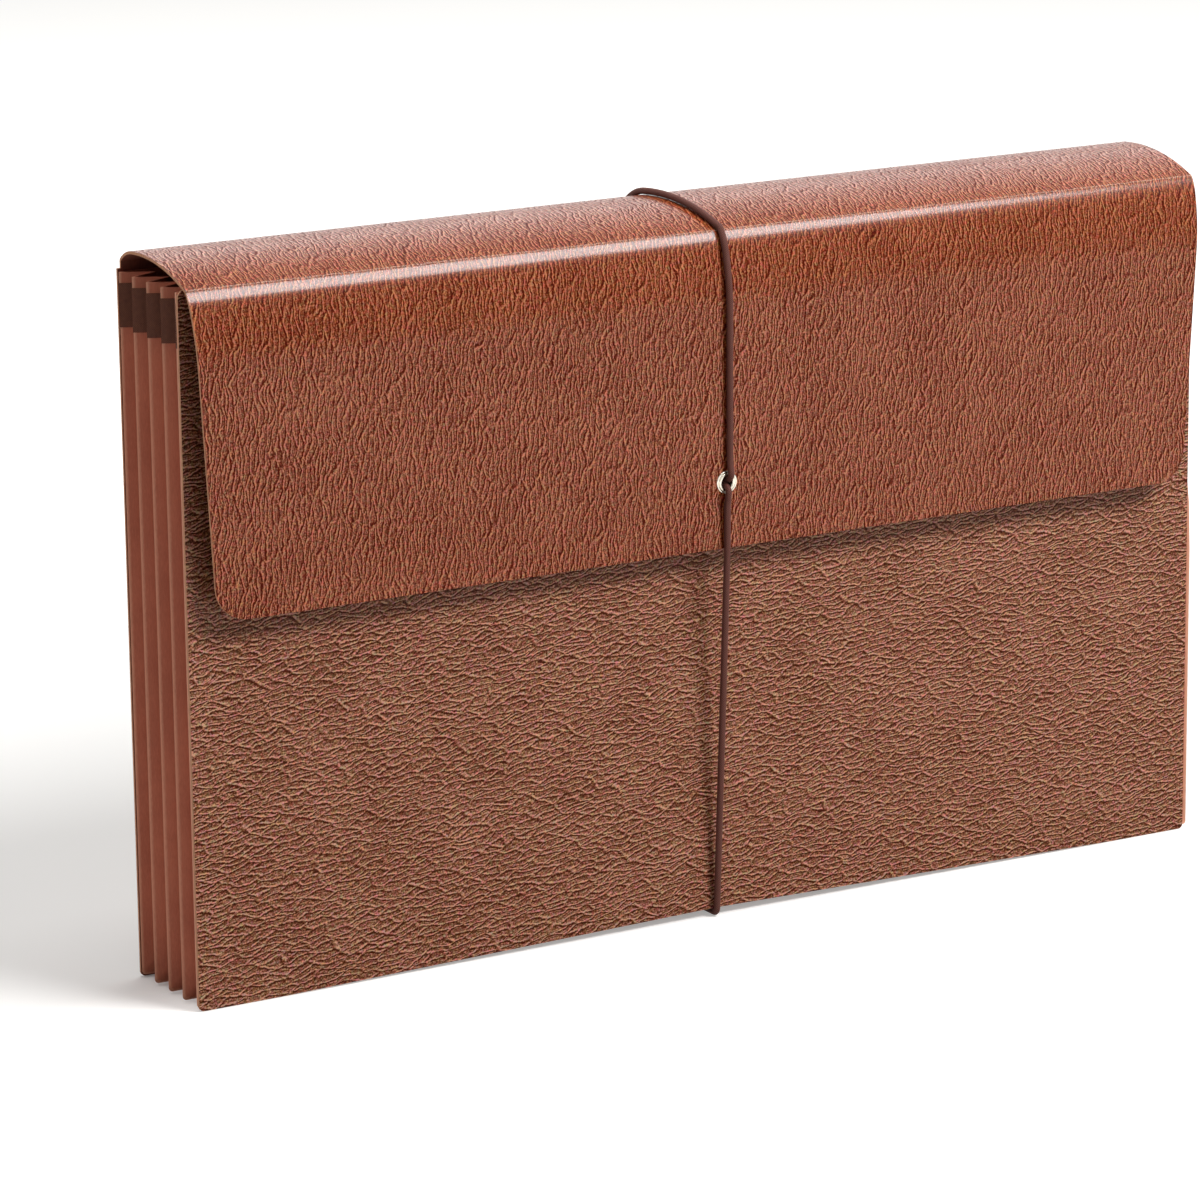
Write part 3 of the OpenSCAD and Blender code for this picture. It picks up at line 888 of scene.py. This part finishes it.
def cord_piece(name, route, cyclic=False):
    """A stretch of cord along a route of (place, radius)."""
    curve = bpy.data.curves.new(name, "CURVE")
    curve.dimensions = "3D"
    line = curve.splines.new("POLY")
    line.points.add(len(route) - 1)
    for point, (place, radius) in zip(line.points, route):
        point.co = (*place, 1)
        point.radius = radius
    line.use_cyclic_u = cyclic
    holder = add_object(name + "_route", curve)
    add_tree(holder, CORD_TREE, {"Step": CORD_STEP, "Sides": CORD_SIDES})
    mesh = result_of(holder)
    bpy.data.objects.remove(holder)
    close_shell(mesh, smooth_angle=60)
    return add_object(name, mesh)


def off_face(station, x):
    """A place of the cord, with its radius, where it lies on a board."""
    y, z = inward(station, -CORD_OFF)
    return Vector((x, y, z)), CORD_R


def by_eyelet(up, out, radius):
    """A place of the cord, with its radius, by its distances up from the eyelet and out of the flap."""
    return EYELET_AT + Vector((math.copysign(STRAND_OFF, up), 0, 0)) + UP * up + OUT * out, radius


def through_eyelet(side):
    """From behind the hole, over the bead and onto the flap's face: up it for 1, down it for -1."""
    steps = 6
    route = [by_eyelet(side * (HOLE_R - SQUEEZED_R - CORD_GAP), -EYELET_BACK, SQUEEZED_R)]
    for i in range(steps + 1):
        a = math.pi / 2 * i / steps
        radius = SQUEEZED_R + (CORD_R - SQUEEZED_R) * i / steps
        turn = BEAD_R + CORD_GAP + radius
        route.append(by_eyelet(side * (BEAD_MID - turn * math.cos(a)), turn * math.sin(a), radius))
    return route + [by_eyelet(side * (BEAD_MID + 4 * CORD_R), CORD_OFF, CORD_R)]


def drift(y):
    """The cord's sideways place behind the crease, up to the back fold."""
    return CORD_DRIFT * (y - CREASE.y) / (BACK_Y - CREASE.y)


def corner_turn(y, z, radius, start, end, x, steps=6):
    """The cord's turn round a panel's bottom edge."""
    return [(Vector((x, py, pz)), CORD_R) for py, pz in arc((y, z), radius, start, end, steps)]


def cord():
    """The elastic loop, in stretches that follow what carries them."""
    upper = through_eyelet(1) + [off_face(s, STRAND_OFF) for s in reversed(after_crease)]
    upper += [off_face(s, STRAND_OFF + drift(s.y)) for s in reversed(before_crease)]
    flap_strand = cord_piece("cord_over_flap", upper)
    settle(flap_strand, "cord", "cord_flap_strand", "cord_top_strand")
    bend_at_crease(flap_strand)

    corner_r = CORD_OFF + BOARD / 2
    under = CORD_LIFT + CORD_R
    rear = [off_face(s, STRAND_OFF + drift(s.y)) for s in reversed(behind_seam[1:])]
    rear += [off_face(s, STRAND_OFF + CORD_DRIFT) for s in reversed([top_of_back] + fold_arc)]
    rear += [(Vector((-STRAND_OFF, BACK_Y + CORD_OFF, height)), CORD_R)
             for height in (PANEL_TOP / 4, under + corner_r)]
    back_strand = cord_piece("cord_down_back", rear)
    settle(back_strand, "cord", "cord_back_strand")
    bend_at_back_fold(back_strand)

    # Below the eyelet the cord lies on the flap.
    off_flap = off_face(flap_edge, -STRAND_OFF)
    flap_end = cord_piece("cord_below_eyelet", through_eyelet(-1) + [off_flap])
    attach(flap_end, "flap_face")
    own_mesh(flap_end)

    lower = [off_flap] + corner_turn(FRONT_Y + BOARD / 2, under + corner_r, corner_r, 180, 270, -STRAND_OFF)
    lower_strand = cord_piece("cord_up_front", lower)
    settle(lower_strand, "cord", "cord_lower_strand")
    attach(lower_strand, "front")
    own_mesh(lower_strand)

    # The run under the wallet is attached to the back.
    beneath = [lower[-1]]
    beneath += corner_turn(BACK_Y - BOARD / 2, under + corner_r, corner_r, 270, 360, -STRAND_OFF)
    under_strand = cord_piece("cord_under_bottom", beneath)
    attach(under_strand, "back")
    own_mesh(under_strand)


def knot():
    """Overhand knot of the cord's two ends, behind the eyelet."""
    steps = 90
    route = []
    for i in range(steps):
        a = math.tau * i / steps
        ring = KNOT_R * (1 - KNOT_WAIST + KNOT_WAIST * math.cos(KNOT_LOBES * a))
        turn = KNOT_TURNS * a
        spot = Vector((1, 0, 0)) * ring * math.cos(turn) + UP * ring * math.sin(turn)
        behind = EYELET_BACK + KNOT_BEHIND - KNOT_WEAVE * math.sin(KNOT_LOBES * a)
        route.append((EYELET_AT + spot - OUT * behind, KNOT_STRAND_R))
    piece = cord_piece("cord_end_knot", route, cyclic=True)
    settle(piece, "cord", "cord_knot")
    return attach(piece, "flap_face")


front_board()
flap = flap_board(back_board())
punch(flap, EYELET_AT, OUT, HOLE_R + EYELET_WALL)
bend_at_crease(flap)
gusset()
eyelet()
cord()
knot()


# Stage. The floor's glow: its strength all over, in front of the wallet and far from it, and the places
# along Y and the distances over which the last two fade. The world's light on the wallet is dim.
GLOW_ALL, GLOW_FRONT, GLOW_FAR = 0.1, 0.35, 0.6
FRONT_FADE = (-0.03, 0.02)
FAR_FADE = (0.28, 0.75)
WORLD_LIGHT = 0.05


def place_camera():
    """The photograph's view: turned right by the yaw, down by the pitch, and rolled."""
    data = bpy.data.cameras.new("camera")
    data.lens, data.sensor_width = CAMERA_LENS, CAMERA_SENSOR
    data.clip_start, data.clip_end = 0.1, 50
    camera = add_object("camera", data)
    yaw, pitch = math.radians(CAMERA_YAW), math.radians(CAMERA_PITCH)
    right = Vector((math.cos(yaw), -math.sin(yaw), 0))
    ahead_of = Vector((math.sin(yaw) * math.cos(pitch), math.cos(yaw) * math.cos(pitch), -math.sin(pitch)))
    turn = Matrix((right, right.cross(ahead_of), -ahead_of)).transposed()
    camera.matrix_world = (Matrix.Translation(CAMERA_AT) @ turn.to_4x4()
                           @ Matrix.Rotation(math.radians(CAMERA_ROLL), 4, "Z"))
    bpy.context.scene.camera = camera


def softbox(name, shape, at, size_x, size_y, power, aim=Vector((0, 0, 0.12))):
    """A lamp that faces a point on the wallet."""
    data = bpy.data.lights.new(name, "AREA")
    data.shape, data.size, data.size_y, data.energy = shape, size_x, size_y, power
    lamp = add_object(name, data)
    lamp.location = at
    lamp.rotation_euler = (aim - lamp.location).to_track_quat("-Z", "Y").to_euler()


def seen_share(tree):
    """1 for what is seen by the camera, in a reflection or through glass, and 0 for what only lights."""
    rays = tree.node("ShaderNodeLightPath")
    seen_or_mirrored = rays.math("MAXIMUM", rays.beside("Is Glossy Ray"))
    return seen_or_mirrored.math("MAXIMUM", rays.beside("Is Transmission Ray"))


def lay_floor(reach=4, below=0.2 * MM):
    """A pale floor that keeps the wallet's shadow and is white far from the wallet, with painted light that
    whitens it in front of the wallet.
    """
    mesh = bpy.data.meshes.new("floor")
    corners = [(-reach, -reach, 0), (reach, -reach, 0), (reach, reach, 0), (-reach, reach, 0)]
    mesh.from_pydata(corners, [], [(0, 1, 2, 3)])
    floor = add_object("floor", mesh)
    floor.location.z = -below
    material = bpy.data.materials.new("white_floor")
    material.use_nodes = True
    tree = Sock(material.node_tree)
    tree.tree.nodes.clear()
    seen = seen_share(tree)
    colour = seen.tint((0.45, 0.44, 0.43, 1), (0.86, 0.85, 0.83, 1))
    matt = tree.node("ShaderNodeBsdfDiffuse", {}, {"Color": colour})
    off = on_piece(tree)
    far = off.node("ShaderNodeVectorMath", {"operation": "LENGTH"}, {0: off}, "Value").step(*FAR_FADE)
    # Painted light: the floor glows more in front of the wallet, which lifts the wallet's shadow there
    before = 1 - off.parts(1).step(*FRONT_FADE)
    strength = seen * (GLOW_ALL + before * GLOW_FRONT + far * GLOW_FAR)
    glow = tree.node("ShaderNodeEmission", {}, {"Color": (1, 0.99, 0.97, 1), "Strength": strength})
    both = tree.node("ShaderNodeAddShader", {}, {0: matt, 1: glow})
    tree.node("ShaderNodeOutputMaterial", {}, {"Surface": both})
    mesh.materials.append(material)


def light_world():
    """White where it is seen, and dim as a light."""
    world = bpy.data.worlds.new("studio")
    bpy.context.scene.world = world
    world.use_nodes = True
    tree = Sock(world.node_tree)
    tree.tree.nodes.clear()
    strength = seen_share(tree) * (1 - WORLD_LIGHT) + WORLD_LIGHT
    backdrop = tree.node("ShaderNodeBackground", {}, {"Color": (1, 1, 1, 1), "Strength": strength})
    tree.node("ShaderNodeOutputWorld", {}, {"Surface": backdrop})


place_camera()
lay_floor()
light_world()
softbox("key", "ELLIPSE", Vector((0.72, -1.17, 1.42)), 1.0, 0.62, 33)
softbox("overhead", "RECTANGLE", Vector((0, 0.1, 2.2)), 1.4, 1.4, 28.5)
softbox("back", "RECTANGLE", Vector((0.9, 1.5, 1.2)), 1.5, 0.9, 3.2)
softbox("left_rim", "RECTANGLE", Vector((-1.5, 0.4, 0.7)), 1.0, 1.0, 5.6)
bpy.context.scene.view_settings.view_transform = "Standard"
